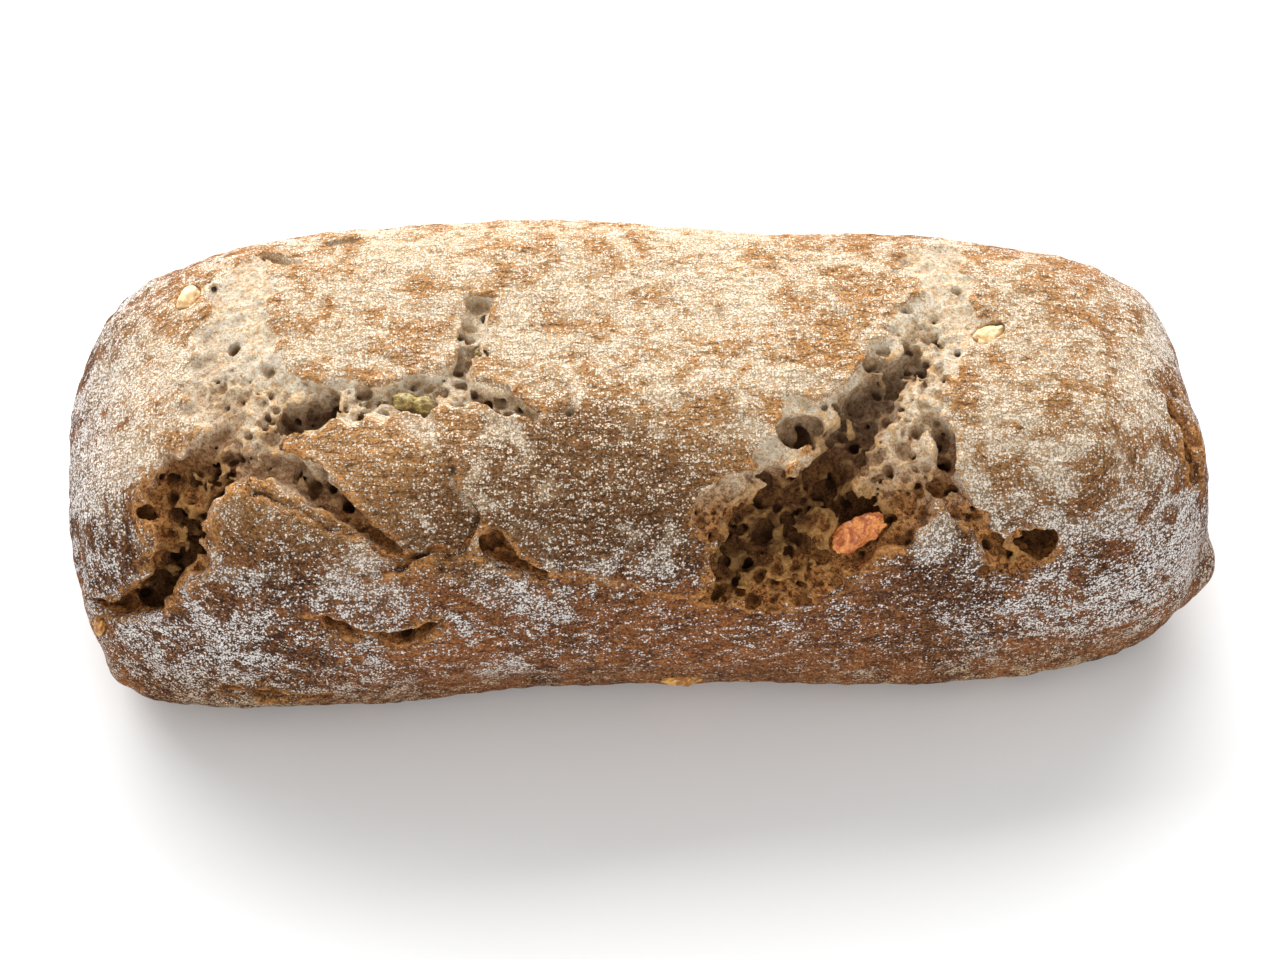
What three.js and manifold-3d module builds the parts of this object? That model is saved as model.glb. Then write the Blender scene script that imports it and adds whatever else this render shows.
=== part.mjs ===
// A tin loaf with walnuts in its dough. The loaf is one baked piece: a floured crust on a flat base, torn
// open along the crown and the front so that the holed crumb shows. The pieces of walnut that show at the
// crust are separate solids, each in a pocket of its own.
// Millimetres. +Z is up, +X runs along the loaf to its slimmer end and -Y points to its front. The origin is
// on the flat base, under the middle of the loaf.
import * as THREE from "three";
import { mergeVertices } from "three/addons/utils/BufferGeometryUtils.js";
import Module from "manifold-3d";

const wasm = await Module();
wasm.setup();

// The loaf's outer sizes.
const LENGTH = 240;
const LEFT_WIDTH = 107; // at the full end
const RIGHT_WIDTH = 88; // at the slim end
const LEFT_HEIGHT = 75;
const RIGHT_HEIGHT = 70.5;
const SHOULDER_HEIGHT = 22; // where the loaf is widest, above its base
const PRESSED_FLAT = 0.9; // how much of the underside's curve the tin has pressed flat

// How square the loaf is: 2 is an ellipse, and a larger power is nearer to a box.
const CROWN_POWER = 3; // across the loaf, above the shoulder
const UNDERSIDE_POWER = 4; // across the loaf, below the shoulder
const BASE_CORNER_POWER = 5.5; // along the loaf, low down
const LEFT_CORNER_POWER = 3.3; // along the loaf, high up
const RIGHT_CORNER_POWER = 4.1;

// Where the dough rose more or less than its neighbour. Each is a direction from the middle of the loaf, in
// its own proportions, with the height of the swelling and how widely it spreads.
const SWELLINGS = {
  front_waist: { towards: [-0.2, -0.9, -0.4], height: -5, spread: 0.4 },
  front_left_foot: { towards: [-0.7, -0.65, -0.3], height: 1, spread: 0.2 },
  left_foot: { towards: [-0.9, -0.35, -0.25], height: -6, spread: 0.25 },
  left_belly: { towards: [-0.95, 0.05, 0.3], height: 2, spread: 0.2 },
  back_left_crown: { towards: [-0.6, 0.65, 0.45], height: 1, spread: 0.2 },
  back_right_crown: { towards: [0.9, 0.35, 0.3], height: -2.5, spread: 0.25 },
  right_belly: { towards: [0.95, -0.2, 0], height: 2.5, spread: 0.25 },
  right_foot: { towards: [0.9, -0.4, -0.25], height: 4, spread: 0.18 },
  front_right_foot: { towards: [0.75, -0.6, -0.3], height: -2, spread: 0.2 },
};
const WAVE_HEIGHT = 0.5; // of the slow unevenness all over the crust

const CRUST_STEP = 7; // between the points of the surface, where the crust is whole
const SHALLOW_STEP = 4; // in a shallow tear
const DEEP_STEP = 2.1; // in a deep tear, and at the edge of a crust plate
const STEP_GROWTH = 0.5; // of the step, for each mm away from a tear
const SLIVER = 0.05; // details smaller than this are smoothed out of the surface

// Places on the crust are given as [along, up]: shares of half the length and of half the mean width, on a
// plane through the loaf's middle that leans back, facing the front and the crown at once.
const FACE_TILT = THREE.MathUtils.degToRad(52); // of the plane's normal above the horizon
const FACE_CENTRE_HEIGHT = 30;

// Tears in the crust, each by its route: [along, up, half width in mm, depth in mm]. Deep ones run inside the
// wide shallow ones.
const TEARS = {
  left_crown: [
    [-0.66, 0.9, 4, 0.5],
    [-0.7, 0.74, 6.5, 0.9],
    [-0.72, 0.52, 8.5, 1.1],
    [-0.7, 0.32, 9.5, 1.5],
    [-0.63, 0.22, 9, 2],
    [-0.53, 0.28, 6, 2.3],
    [-0.41, 0.29, 3.8, 2.6],
    [-0.33, 0.33, 3.4, 2.8],
  ],
  left_crown_branch: [
    [-0.33, 0.33, 3.4, 2.8],
    [-0.3, 0.44, 3, 2.6],
    [-0.28, 0.57, 2.8, 2.2],
    [-0.27, 0.68, 2.6, 1.6],
  ],
  middle_crown: [
    [-0.34, 0.31, 3.4, 2.6],
    [-0.27, 0.29, 4, 2.8],
    [-0.23, 0.26, 3.6, 2.6],
    [-0.18, 0.2, 2.8, 2],
  ],
  left_front: [
    [-0.64, 0.12, 7, 2.2],
    [-0.72, 0.02, 8.5, 3.2],
    [-0.78, -0.12, 9, 3.8],
    [-0.78, -0.3, 8.5, 4.2],
    [-0.81, -0.46, 5, 5],
    [-0.86, -0.56, 3, 5.4],
    [-0.91, -0.58, 2, 4],
  ],
  left_front_branch: [
    [-0.64, 0.04, 5, 3],
    [-0.6, -0.01, 4, 3.4],
    [-0.55, -0.08, 4, 3.4],
    [-0.5, -0.18, 2.8, 3],
    [-0.47, -0.26, 1.7, 2.6],
  ],
  right_shallow: [
    [0.54, 0.9, 4, 0.5],
    [0.54, 0.78, 7, 0.9],
    [0.51, 0.56, 10, 1.4],
    [0.46, 0.27, 9.5, 2.2],
    [0.4, 0.09, 13, 2.2],
    [0.36, -0.14, 15.5, 2.4],
    [0.27, -0.37, 12.5, 2.4],
    [0.21, -0.53, 8, 1.8],
  ],
  right_deep: [
    [0.5, 0.56, 3, 2.6],
    [0.44, 0.36, 5.5, 4.6],
    [0.38, 0.2, 6, 5.6],
    [0.33, -0.04, 6.5, 7],
    [0.26, -0.19, 8, 7.2],
    [0.19, -0.34, 8, 7],
    [0.14, -0.5, 5, 5.6],
    [0.12, -0.58, 3, 3],
  ],
  right_deep_branch: [
    [0.49, 0.14, 3, 3],
    [0.515, 0.06, 2.8, 4],
    [0.51, -0.08, 2.6, 3.4],
    [0.53, -0.2, 2.8, 2.4],
  ],
  right_far_branch: [
    [0.57, -0.32, 2, 1],
    [0.6, -0.42, 3.6, 1.2],
    [0.655, -0.43, 4.6, 1.4],
  ],
};
const FLOOR_SHARE = 0.62; // of a tear's half width, from its middle to the foot of its wall
const LIP_HEIGHT = 0.8; // of the crust that stands up along a deep tear's edge
const LIP_PLACE = 1.2; // of the lip's top, in half widths from the tear's middle
const LIP_SPREAD = 0.2;
const EDGE_RAGGEDNESS = 0.28; // of a tear's half width
const FLOOR_RAGGEDNESS = 0.28; // of a tear's depth

// Edges of crust plates that stand up: the edge's route of [along, up], how high the plate on the route's left
// side stands (on its right side, if under 0), and how far back from the edge the plate comes down.
const PLATES = {
  left_front_right: {
    edge: [[-0.69, -0.05], [-0.62, -0.14], [-0.52, -0.26], [-0.42, -0.36], [-0.34, -0.42]],
    rise: -1.3,
    run: 9,
  },
  left_front_left: {
    edge: [[-0.77, -0.42], [-0.73, -0.25], [-0.69, -0.05]],
    rise: -1.2,
    run: 8,
  },
  front_upper: {
    edge: [[-0.3, -0.08], [-0.27, -0.22], [-0.3, -0.36], [-0.41, -0.42]],
    rise: 2,
    run: 8,
  },
  front_lower: {
    edge: [[-0.25, -0.36], [-0.15, -0.47], [-0.04, -0.5], [0.05, -0.58], [0.12, -0.6]],
    rise: 1.6,
    run: 6,
  },
  front_foot: {
    edge: [[-0.56, -0.63], [-0.46, -0.68], [-0.38, -0.68], [-0.32, -0.6]],
    rise: 1.4,
    run: 6,
  },
  right_front: {
    edge: [[0.27, -0.5], [0.4, -0.4], [0.48, -0.22], [0.5, -0.1]],
    rise: -1,
    run: 6,
  },
};
const PLATE_EDGE = 0.8; // mm on either side of the edge over which a plate rises

// Slits through the crust: [along, up] of the middle, [length, width, depth] in mm, and the turn on it.
const SLITS = {
  front_foot: { at: [-0.46, -0.695], size: [16, 3.4, 3.4], turn: -8 },
  front_foot_end: { at: [-0.4, -0.715], size: [7, 5.5, 5], turn: 30 },
  front_middle: { at: [-0.235, -0.375], size: [9, 4, 4], turn: -50 },
  right_end: { at: [0.955, 0.05], size: [12, 4.5, 3.6], turn: 85 },
  left_top: { at: [-0.62, 0.91], size: [8, 2.8, 2.6], turn: 10 },
  middle_top: { at: [-0.52, 0.978], size: [6.5, 2.6, 2.4], turn: 10 },
  left_foot: { at: [-0.64, -0.965], size: [20, 3, 3], turn: 0 },
};

// The large pores that open at the surface: [along, up, radius in mm, depth of the middle in mm].
const PORES = [
  [0.27, 0.12, 4.4, 1.6],
  [0.275, 0.07, 2.6, 4],
  [0.38, 0.26, 4, 4.6],
  [0.31, -0.09, 5.2, 6.5],
  [0.22, -0.17, 4, 5],
  [0.17, -0.38, 3.2, 5.6],
  [0.16, -0.59, 1.8, 3],
  [0.36, -0.24, 4.6, 6],
  [0.51, 0.08, 2.6, 4],
  [0.675, -0.4, 4.2, 4],
  [0.595, -0.38, 2.1, 2.6],
  [-0.55, 0.25, 4.6, 3.8],
  [-0.84, -0.55, 4.4, 5],
  [-0.72, -0.15, 2.8, 5],
  [-0.53, -0.09, 2.4, 3.4],
  [-0.28, 0.69, 2.1, 1.2],
  [-0.2, 0.2, 2.4, 2.4],
];

// The walnut pieces that show: [along, up] of the middle, its depth under the crust, its three sizes, its
// turn on the crust in degrees from the loaf's length, and the colour of its cut face or skin.
const WALNUT_PIECES = {
  left_shoulder: { at: [-0.79, 0.74], under: 0.6, size: [8, 5.6, 5], turn: 70, colour: 0xe9c88a },
  left_tear: { at: [-0.385, 0.29], under: 3, size: [11, 4.8, 4.4], turn: -18, colour: 0xa98f55 },
  small_pore: { at: [-0.27, 0.5], under: 3, size: [4, 3.2, 3.2], turn: 40, colour: 0xb08a4a },
  right_tear: { at: [0.365, -0.345], under: 3.2, size: [14, 7, 5.4], turn: 30, colour: 0xd98545 },
  right_shoulder: { at: [0.61, 0.53], under: 2.1, size: [9.5, 5, 4.4], turn: 30, colour: 0xe6cf9a },
  front_base: { at: [0.065, -0.95], under: -0.1, size: [9.5, 5, 4], turn: 6, colour: 0xc08a3e },
  left_end: { at: [-0.945, -0.66], under: 0.4, size: [7, 4, 4], turn: 75, colour: 0xc9a25a },
};
const POCKET_CLEARANCE = 0.6; // between a walnut piece and the crumb round it
const BASE_CLEARANCE = 0.6; // between the lowest walnut piece and the surface that the loaf stands on

const half = {
  length: LENGTH / 2,
  width: (LEFT_WIDTH + RIGHT_WIDTH) / 4,
  height: (LEFT_HEIGHT + RIGHT_HEIGHT) / 4,
};
const faceNormal = new THREE.Vector3(0, -Math.cos(FACE_TILT), Math.sin(FACE_TILT));
const faceUp = new THREE.Vector3(0, Math.sin(FACE_TILT), Math.cos(FACE_TILT));
const faceCentre = new THREE.Vector3(0, 0, FACE_CENTRE_HEIGHT);

const mix = THREE.MathUtils.lerp;
const smooth = THREE.MathUtils.smoothstep;
const sumOf = (values) => values.reduce((a, b) => a + b);

// Half the width, the crown's rise above the shoulder and the underside's drop below it, at a share of the
// length.
function sectionAt(share) {
  const t = (share + 1) / 2;
  return {
    halfWidth: mix(LEFT_WIDTH, RIGHT_WIDTH, t) / 2,
    rise: mix(LEFT_HEIGHT, RIGHT_HEIGHT, t) - SHOULDER_HEIGHT,
    drop: SHOULDER_HEIGHT + PRESSED_FLAT,
  };
}

// How far the surface lies from the middle along a direction, both in the loaf's own proportions.
function reach(direction) {
  const { x, y, z } = direction;
  const high = smooth(z, -0.2, 0.7);
  const rightness = smooth(x, -0.3, 0.3);
  const along = mix(BASE_CORNER_POWER, mix(LEFT_CORNER_POWER, RIGHT_CORNER_POWER, rightness), high);
  const across = z > 0 ? CROWN_POWER : UNDERSIDE_POWER;
  const section = (Math.abs(y) ** across + Math.abs(z) ** across) ** (1 / across);
  return (Math.abs(x) ** along + section ** along) ** (-1 / along) * (1 + swelling(direction));
}

// The share by which the surface stands out or in along a direction.
function swelling(direction) {
  const { x, y, z } = direction;
  const phases = [5.1 * x + 3.3 * y + 0.6, 6.7 * y - 4.2 * x + 3.9 * z, 8.3 * x - 5.7 * z];
  let height = (WAVE_HEIGHT * sumOf(phases.map(Math.sin))) / 2;
  for (const s of Object.values(SWELLINGS)) {
    const away = direction.distanceTo(new THREE.Vector3(...s.towards).normalize());
    height += s.height * Math.exp(-((away / s.spread) ** 2));
  }
  return height / Math.hypot(x * half.length, y * half.width, z * half.height);
}

// The point of the loaf's form in a direction that is given in its own proportions.
function formPoint(direction) {
  const p = direction.clone().normalize();
  p.multiplyScalar(reach(p));
  const { halfWidth, rise, drop } = sectionAt(p.x);
  const z = SHOULDER_HEIGHT + p.z * (p.z > 0 ? rise : drop);
  return new THREE.Vector3(p.x * half.length, p.y * halfWidth, Math.max(z, 0));
}

// Under 1 inside the form, 1 on it and over 1 outside it.
function fullness(point) {
  const share = point.x / half.length;
  const { halfWidth, rise, drop } = sectionAt(share);
  const z = point.z - SHOULDER_HEIGHT;
  const p = new THREE.Vector3(share, point.y / halfWidth, z / (z > 0 ? rise : drop));
  const distance = p.length();
  return distance / reach(p.divideScalar(distance));
}

// The way out of the crust at a point of it.
function outwardAt(point) {
  const step = 0.1;
  const outward = new THREE.Vector3();
  for (const axis of ["x", "y", "z"]) {
    const near = point.clone();
    near[axis] += step;
    outward[axis] = fullness(near) - fullness(point);
  }
  return outward.normalize();
}

// The point of the crust that lies straight in from [along, up] on the face plane, and the way out there.
function onCrust(along, up) {
  const far = half.width * 1.5;
  const point = faceCentre
    .clone()
    .addScaledVector(faceUp, up * half.width)
    .addScaledVector(faceNormal, far)
    .setX(along * half.length);
  const step = 0.1;
  for (let gone = 0; gone < 2 * far && fullness(point) > 1; gone += step) {
    point.addScaledVector(faceNormal, -step);
  }
  return { point, outward: outwardAt(point) };
}

// Axes on the crust: X along the loaf and turned on it, Z out of it.
function crustFrame({ point, outward }, turn = 0, under = 0) {
  const x = new THREE.Vector3(1, 0, 0).addScaledVector(outward, -outward.x).normalize();
  x.applyAxisAngle(outward, THREE.MathUtils.degToRad(turn));
  const y = new THREE.Vector3().crossVectors(outward, x);
  const middle = point.clone().addScaledVector(outward, -under);
  return new THREE.Matrix4().makeBasis(x, y, outward).setPosition(middle);
}

// A geometry with its points alone, so that shared ones can be joined.
function bareGeometry(geometry) {
  const bare = new THREE.BufferGeometry();
  bare.setAttribute("position", geometry.attributes.position);
  return bare.setIndex(geometry.index);
}

function solidOf(geometry) {
  const merged = mergeVertices(bareGeometry(geometry), 1e-4);
  return new wasm.Manifold(
    new wasm.Mesh({
      numProp: 3,
      vertProperties: new Float32Array(merged.attributes.position.array),
      triVerts: new Uint32Array(merged.index.array),
    }),
  );
}

function geometryOf(solid) {
  const { vertProperties, triVerts, numProp } = solid.getMesh();
  const geometry = new THREE.BufferGeometry();
  const buffer = new THREE.InterleavedBuffer(vertProperties, numProp);
  geometry.setAttribute("position", new THREE.InterleavedBufferAttribute(buffer, 3, 0));
  geometry.setIndex(new THREE.BufferAttribute(triVerts, 1));
  geometry.computeVertexNormals();
  return geometry;
}

// A ball with an uneven skin, scaled to three half sizes.
function unevenBall(halfSizes, unevenness, detail, seed = 0) {
  const geometry = new THREE.IcosahedronGeometry(1, detail);
  const position = geometry.attributes.position;
  const p = new THREE.Vector3();
  for (let i = 0; i < position.count; i++) {
    p.fromBufferAttribute(position, i);
    const lobes = Math.sin(3.1 * p.x + 2.3 * p.y + seed) + Math.sin(4.3 * p.z - 2.9 * p.x + 1.7 * seed);
    p.multiplyScalar(1 + (unevenness * lobes) / 2);
    position.setXYZ(i, p.x * halfSizes[0], p.y * halfSizes[1], p.z * halfSizes[2]);
  }
  return geometry;
}

// Unevenness between -1 and 1, with waves of about a given length.
function ripple(point, wave) {
  const { x, y, z } = point.clone().multiplyScalar((2 * Math.PI) / wave);
  const phases = [x + 0.6 * y - 0.3 * z, 0.7 * z - 0.9 * y + 1.3, 0.8 * z + 0.5 * x - 1.1 * y];
  return sumOf(phases.map(Math.sin)) / phases.length;
}

// The straight runs between the places of a route.
function legsOf(route) {
  const knots = route.map(([along, up, halfWidth, depth]) => ({ ...onCrust(along, up), halfWidth, depth }));
  return knots.slice(1).map((to, i) => {
    const from = knots[i];
    return { from, to, line: new THREE.Line3(from.point, to.point) };
  });
}

const tearLegs = Object.values(TEARS).flatMap(legsOf);
const plates = Object.values(PLATES).map(({ edge, rise, run }) => ({ legs: legsOf(edge), rise, run }));

// Where a leg is nearest to a point: how far along it, and how far away.
function nearestOn({ line }, point) {
  const t = line.closestPointToPointParameter(point, true);
  const foot = line.at(t, new THREE.Vector3());
  return { t, foot, distance: foot.distanceTo(point) };
}

// The tears at a point of the crust: how deep they are, how far open (0 to 1) and their lip's height.
function tearsAt(point) {
  const ragged = 1 + EDGE_RAGGEDNESS * (ripple(point, 9) + 0.5 * ripple(point, 4));
  const tear = { depth: 0, open: 0, lip: 0 };
  for (const leg of tearLegs) {
    const { t, distance } = nearestOn(leg, point);
    const offset = (distance * ragged) / mix(leg.from.halfWidth, leg.to.halfWidth, t);
    const depth = mix(leg.from.depth, leg.to.depth, t);
    const open = 1 - smooth(offset, FLOOR_SHARE, 1);
    const lip = LIP_HEIGHT * Math.min(1, depth / 4) * Math.exp(-(((offset - LIP_PLACE) / LIP_SPREAD) ** 2));
    tear.depth = Math.max(tear.depth, depth * open);
    tear.open = Math.max(tear.open, open);
    tear.lip = Math.max(tear.lip, lip);
  }
  return tear;
}

// How high the crust plates stand at a point of the crust.
function plateHeight(point) {
  let height = 0;
  for (const { legs, rise, run } of plates) {
    const found = legs.map((leg) => ({ leg, ...nearestOn(leg, point) }));
    const { leg, foot, distance } = found.reduce((a, b) => (b.distance < a.distance ? b : a));
    const left = new THREE.Vector3().crossVectors(leg.from.outward, leg.line.delta(new THREE.Vector3()));
    const back = distance * Math.sign(left.dot(point.clone().sub(foot)) * rise);
    const share = smooth(back, -PLATE_EDGE, PLATE_EDGE) * Math.exp(-((Math.max(back, 0) / run) ** 2));
    height = Math.max(height, Math.abs(rise) * share);
  }
  return height;
}

// How far a point of the crust stands in (under 0) or out.
function crustHeight(point) {
  const tear = tearsAt(point);
  const raised = (tear.lip + plateHeight(point)) * (1 - tear.open);
  return raised - tear.depth * (1 + FLOOR_RAGGEDNESS * ripple(point, 6));
}

// The greatest length for an edge at a point of the crust.
function stepAt(point) {
  let step = CRUST_STEP;
  for (const leg of tearLegs) {
    const { t, distance } = nearestOn(leg, point);
    const away = Math.max(0, distance - 1.2 * mix(leg.from.halfWidth, leg.to.halfWidth, t));
    const inside = mix(SHALLOW_STEP, DEEP_STEP, smooth(mix(leg.from.depth, leg.to.depth, t), 1, 3));
    step = Math.min(step, inside + STEP_GROWTH * away);
  }
  for (const leg of plates.flatMap(({ legs }) => legs)) {
    step = Math.min(step, DEEP_STEP + 2 * STEP_GROWTH * Math.max(0, nearestOn(leg, point).distance - 1));
  }
  return step;
}

// The triangles that replace one when some of its edges are halved. halfway gives the index of an edge's new
// point, or undefined for an edge that stays whole.
function split([a, b, c], halfway) {
  const [ab, bc, ca] = [halfway(a, b), halfway(b, c), halfway(c, a)];
  const halved = [ab, bc, ca].filter((point) => point !== undefined).length;
  if (halved === 0) return [[a, b, c]];
  if (halved === 3) return [[a, ab, ca], [ab, b, bc], [ca, bc, c], [ab, bc, ca]];
  if (ab === undefined || ca !== undefined) return split([b, c, a], halfway);
  return bc === undefined ? [[a, ab, c], [ab, b, c]] : [[ab, b, bc], [a, ab, bc], [a, bc, c]];
}

// The form's points and triangles, with edges halved until each is short enough for its place.
function formSkin() {
  const steps = [LENGTH, 2 * half.width, 2 * half.height].map((size) => Math.round(size / CRUST_STEP));
  const box = mergeVertices(bareGeometry(new THREE.BoxGeometry(2, 2, 2, ...steps)));
  const directions = [];
  for (let i = 0; i < box.attributes.position.count; i++) {
    directions.push(new THREE.Vector3().fromBufferAttribute(box.attributes.position, i));
  }
  const points = directions.map(formPoint);
  let triangles = [];
  for (let i = 0; i < box.index.count; i += 3) {
    triangles.push([0, 1, 2].map((k) => box.index.getX(i + k)));
  }
  for (let grown = true; grown; ) {
    const middles = new Map();
    const before = triangles.length;
    const halfway = (a, b) => {
      const key = `${Math.min(a, b)} ${Math.max(a, b)}`;
      if (!middles.has(key)) {
        const direction = directions[a].clone().lerp(directions[b], 0.5);
        const point = formPoint(direction);
        const long = points[a].distanceTo(points[b]) > 1.5 * stepAt(point);
        middles.set(key, long ? points.push(point) - 1 : undefined);
        if (long) directions.push(direction);
      }
      return middles.get(key);
    };
    triangles = triangles.flatMap((triangle) => split(triangle, halfway));
    grown = triangles.length > before;
  }
  return { points, triangles };
}

// The loaf with its tears, before its pores and pockets are cut.
function tornSolid() {
  const { points, triangles } = formSkin();
  const torn = points.map((point) => {
    const height = crustHeight(point);
    return Math.abs(height) < 0.01 ? point : point.clone().addScaledVector(outwardAt(point), height);
  });
  const geometry = new THREE.BufferGeometry().setFromPoints(torn);
  return solidOf(geometry.setIndex(triangles.flat()));
}

function poreHollow([along, up, radius, under], index) {
  const frame = crustFrame(onCrust(along, up), 55 * index, under);
  const halfSizes = [radius * 1.1, radius * 0.9, radius * 1.05];
  return solidOf(unevenBall(halfSizes, 0.12, 1, index).applyMatrix4(frame));
}

function slitHollow({ at, size, turn }, index) {
  const [length, width, depth] = size;
  const frame = crustFrame(onCrust(...at), turn);
  return solidOf(unevenBall([length / 2, width / 2, depth], 0.2, 1, index).applyMatrix4(frame));
}

// A walnut piece about its own middle, grown by a clearance to make its pocket.
function walnutShape({ size }, seed, clearance = 0) {
  const halfSizes = size.map((across) => across / 2 + clearance);
  return unevenBall(halfSizes, 0.24, 2, seed);
}

// Where a walnut piece lies: its middle under the crust, and clear of what the loaf stands on.
function walnutPlace(piece, seed) {
  const frame = crustFrame(onCrust(...piece.at), piece.turn, piece.under);
  const placed = walnutShape(piece, seed).applyMatrix4(frame);
  placed.computeBoundingBox();
  const lift = Math.max(0, BASE_CLEARANCE - placed.boundingBox.min.z);
  return frame.premultiply(new THREE.Matrix4().makeTranslation(0, 0, lift));
}

function walnutPocket(piece, seed) {
  return solidOf(walnutShape(piece, seed, POCKET_CLEARANCE).applyMatrix4(walnutPlace(piece, seed)));
}

function loafSolid() {
  const hollows = [
    ...PORES.map(poreHollow),
    ...Object.values(SLITS).map(slitHollow),
    ...Object.values(WALNUT_PIECES).map(walnutPocket),
  ];
  const loaf = tornSolid().subtract(wasm.Manifold.union(hollows)).simplify(SLIVER);
  const [largest] = loaf.decompose().sort((a, b) => b.volume() - a.volume());
  return largest; // without crumbs that the hollows cut loose
}

const crustMaterial = new THREE.MeshStandardMaterial({ color: 0xb98f68, roughness: 0.95, metalness: 0 });

const breadLoaf = new THREE.Mesh(geometryOf(loafSolid()), crustMaterial);
breadLoaf.name = "bread_loaf";

const root = new THREE.Group();
root.add(breadLoaf);
Object.entries(WALNUT_PIECES).forEach(([place, piece], seed) => {
  const material = new THREE.MeshStandardMaterial({ color: piece.colour, roughness: 0.7, metalness: 0 });
  const walnut = new THREE.Mesh(walnutShape(piece, seed), material);
  walnut.name = `walnut_piece_${place}`;
  walnut.applyMatrix4(walnutPlace(piece, seed));
  root.add(walnut);
});

export default root;
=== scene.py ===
"""Looks of a tin loaf with walnuts: the loaf is grown in a grid of signed distances, meshed, and given one
baked material. Lengths are in millimetres up to where a mesh is made, and in metres from there on."""

import math

import bpy
import numpy as np
import openvdb
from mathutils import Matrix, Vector


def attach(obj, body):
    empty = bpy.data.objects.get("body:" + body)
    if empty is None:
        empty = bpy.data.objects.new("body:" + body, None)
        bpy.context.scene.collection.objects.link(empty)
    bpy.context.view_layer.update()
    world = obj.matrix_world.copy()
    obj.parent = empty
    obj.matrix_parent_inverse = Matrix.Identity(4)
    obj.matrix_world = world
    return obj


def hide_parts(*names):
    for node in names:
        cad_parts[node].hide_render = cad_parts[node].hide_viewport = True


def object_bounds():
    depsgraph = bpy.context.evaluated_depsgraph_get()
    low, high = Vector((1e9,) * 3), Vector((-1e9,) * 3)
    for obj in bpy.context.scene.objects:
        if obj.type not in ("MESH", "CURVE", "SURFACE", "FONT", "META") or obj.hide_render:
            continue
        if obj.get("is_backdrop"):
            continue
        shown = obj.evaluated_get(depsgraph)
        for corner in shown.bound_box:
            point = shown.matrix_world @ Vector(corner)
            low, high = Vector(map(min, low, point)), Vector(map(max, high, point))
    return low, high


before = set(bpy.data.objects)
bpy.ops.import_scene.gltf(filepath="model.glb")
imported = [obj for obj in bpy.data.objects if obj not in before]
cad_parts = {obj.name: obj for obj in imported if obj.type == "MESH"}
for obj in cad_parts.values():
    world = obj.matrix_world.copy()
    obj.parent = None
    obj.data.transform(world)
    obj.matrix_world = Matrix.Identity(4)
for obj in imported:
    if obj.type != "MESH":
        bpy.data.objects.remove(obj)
cad_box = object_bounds()

MM = 0.001
rng = np.random.default_rng(7)

# ----------------------------------------------------------------------------------------- the loaf's form
LENGTH = 240
LEFT_WIDTH, RIGHT_WIDTH = 107, 88
LEFT_HEIGHT, RIGHT_HEIGHT = 75, 70.5
SHOULDER_HEIGHT = 22
PRESSED_FLAT = 0.9
BASE_CORNER_POWER, LEFT_CORNER_POWER, RIGHT_CORNER_POWER = 5.5, 3.3, 4.1
HALF_LENGTH = LENGTH / 2
HALF_WIDTH = (LEFT_WIDTH + RIGHT_WIDTH) / 4
HALF_HEIGHT = (LEFT_HEIGHT + RIGHT_HEIGHT) / 4

# Swellings: direction from the middle in the loaf's own proportions, height in mm, spread.
SWELLINGS = [
    ((-0.2, -0.9, -0.4), -5, 0.4),
    ((-0.7, -0.65, -0.3), 1, 0.2),
    ((-0.9, -0.35, -0.25), -6, 0.25),
    ((-0.95, 0.05, 0.3), 2, 0.2),
    ((-0.6, 0.65, 0.45), 1, 0.2),
    ((0.9, 0.35, 0.3), -2.5, 0.25),
    ((0.95, -0.2, 0), 2.5, 0.25),
    ((0.9, -0.4, -0.25), 4, 0.18),
    ((0.75, -0.6, -0.3), -2, 0.2),
]
WAVE_HEIGHT = 0.5

# Places on the crust are [along, up] on a leaning plane: shares of half the length and half the mean width.
FACE_TILT = math.radians(52)
FACE_CENTRE = np.array([0, 0, 30.0])
FACE_NORMAL = np.array([0, -math.cos(FACE_TILT), math.sin(FACE_TILT)])
FACE_UP = np.array([0, math.sin(FACE_TILT), math.cos(FACE_TILT)])

STEP = 0.5  # of the grid
BAND = 3.0  # how far from the surface distances are kept
LIP_HEIGHT, LIP_WIDTH, FULL_LIP_DEPTH = 0.8, 0.9, 4  # of the crust that stands up along a tear's edge
CAVITY_REACH = 1.5  # of the means that tell pores from edges
STRAIGHT_FROM, STRAIGHT_TO = -72, 88  # where the wrinkles run along the loaf, and not round an end
END_WRINKLES_FROM, END_WRINKLES_TO = 82, 104  # from the middle, where the wrinkles turn
WRINKLE_HEIGHT, END_WRINKLE_HEIGHT, GRAIN_HEIGHT = 0.24, 0.38, 0.12
DEEPEST = 12  # the depth at which the "depth" attribute is 1
BASE_LEVEL = 0.05

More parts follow.
